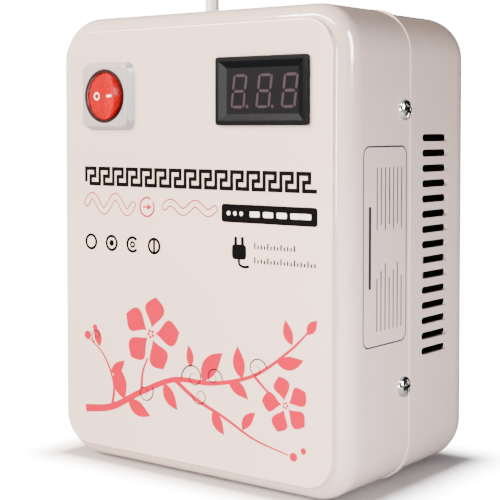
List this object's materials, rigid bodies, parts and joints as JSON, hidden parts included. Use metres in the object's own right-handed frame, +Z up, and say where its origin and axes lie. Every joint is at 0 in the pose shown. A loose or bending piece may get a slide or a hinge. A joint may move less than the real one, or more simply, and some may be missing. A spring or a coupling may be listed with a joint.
{
  "type": "travel voltage converter",
  "caption": "Upright moulded case holding a ring step-down transformer, with a round rocker switch and digital meter in front, outlets behind and a corded plug.",
  "frame": {"origin": "on the floor, midway across the case and midway between its foremost and rearmost points, the cord left out", "axes": "+X to the right seen from the front, +Y to the back, +Z up; the switch and meter face -Y"},
  "size_m": [0.1914, 0.2397, 0.2734],
  "materials": {
    "case_plastic": "moulded, warm cream, glossy",
    "switch_plastic": "moulded, light grey",
    "rocker_plastic": "moulded, signal red",
    "meter_plastic": "moulded, fine spark texture",
    "smoked_window": "smoked, polished",
    "display_resin": "potted resin",
    "board_laminate": "glass-fibre laminate with solder mask",
    "black_plastic": "moulded",
    "outlet_plastic": "moulded, off-white",
    "terminal_plastic": "moulded",
    "core_steel": "wound electrical strip",
    "winding_wrap": "light polyester tape over enamelled wire",
    "soft_rubber": "moulded",
    "screw_chrome": "plated",
    "zinc_steel": "zinc plated",
    "contact_brass": "stamped",
    "lead_insulation": "extruded PVC",
    "cord_sheath": "extruded PVC, white"
  },
  "bodies": {
    "case": {"front_cover": "case_plastic", "rear_cover": "case_plastic", "cover_screws": "screw_chrome", "rubber_feet": "soft_rubber", "switch_housing": "switch_plastic", "switch_terminals": "contact_brass", "meter_bezel": "meter_plastic", "meter_window": "smoked_window", "meter_display": "display_resin", "meter_board": "board_laminate", "transformer_winding": "winding_wrap", "transformer_core": "core_steel", "rear_pad": "soft_rubber", "front_pad": "soft_rubber", "dished_washer": "zinc_steel", "centre_bolt": "zinc_steel", "centre_nut": "zinc_steel", "thermal_cutout": "black_plastic", "outlet_inner": "outlet_plastic", "outlet_outer": "outlet_plastic", "outlet_contacts": "contact_brass", "breaker_body": "black_plastic", "breaker_nut": "zinc_steel", "breaker_terminals": "contact_brass", "terminal_block": "terminal_plastic", "block_screws": "zinc_steel", "inner_leads": "lead_insulation", "cord_bushing": "cord_sheath", "cord_run": "cord_sheath", "cord_coil": "cord_sheath", "plug_body": "cord_sheath", "plug_pins": "contact_brass"},
    "rocker": {"rocker": "rocker_plastic"},
    "reset_button": {"reset_button": "black_plastic"}
  },
  "joints": [
    {"name": "rocker_tilt", "type": "hinge", "parent": "case", "child": "rocker", "pos_m": [-0.04694, -0.05565, 0.1698], "axis": [0, 0, 1], "range_deg": [0, 24]},
    {"name": "reset_slide", "type": "slide", "parent": "case", "child": "reset_button", "axis": [0, 1, 0], "range_m": [0, 0.004]}
  ]
}
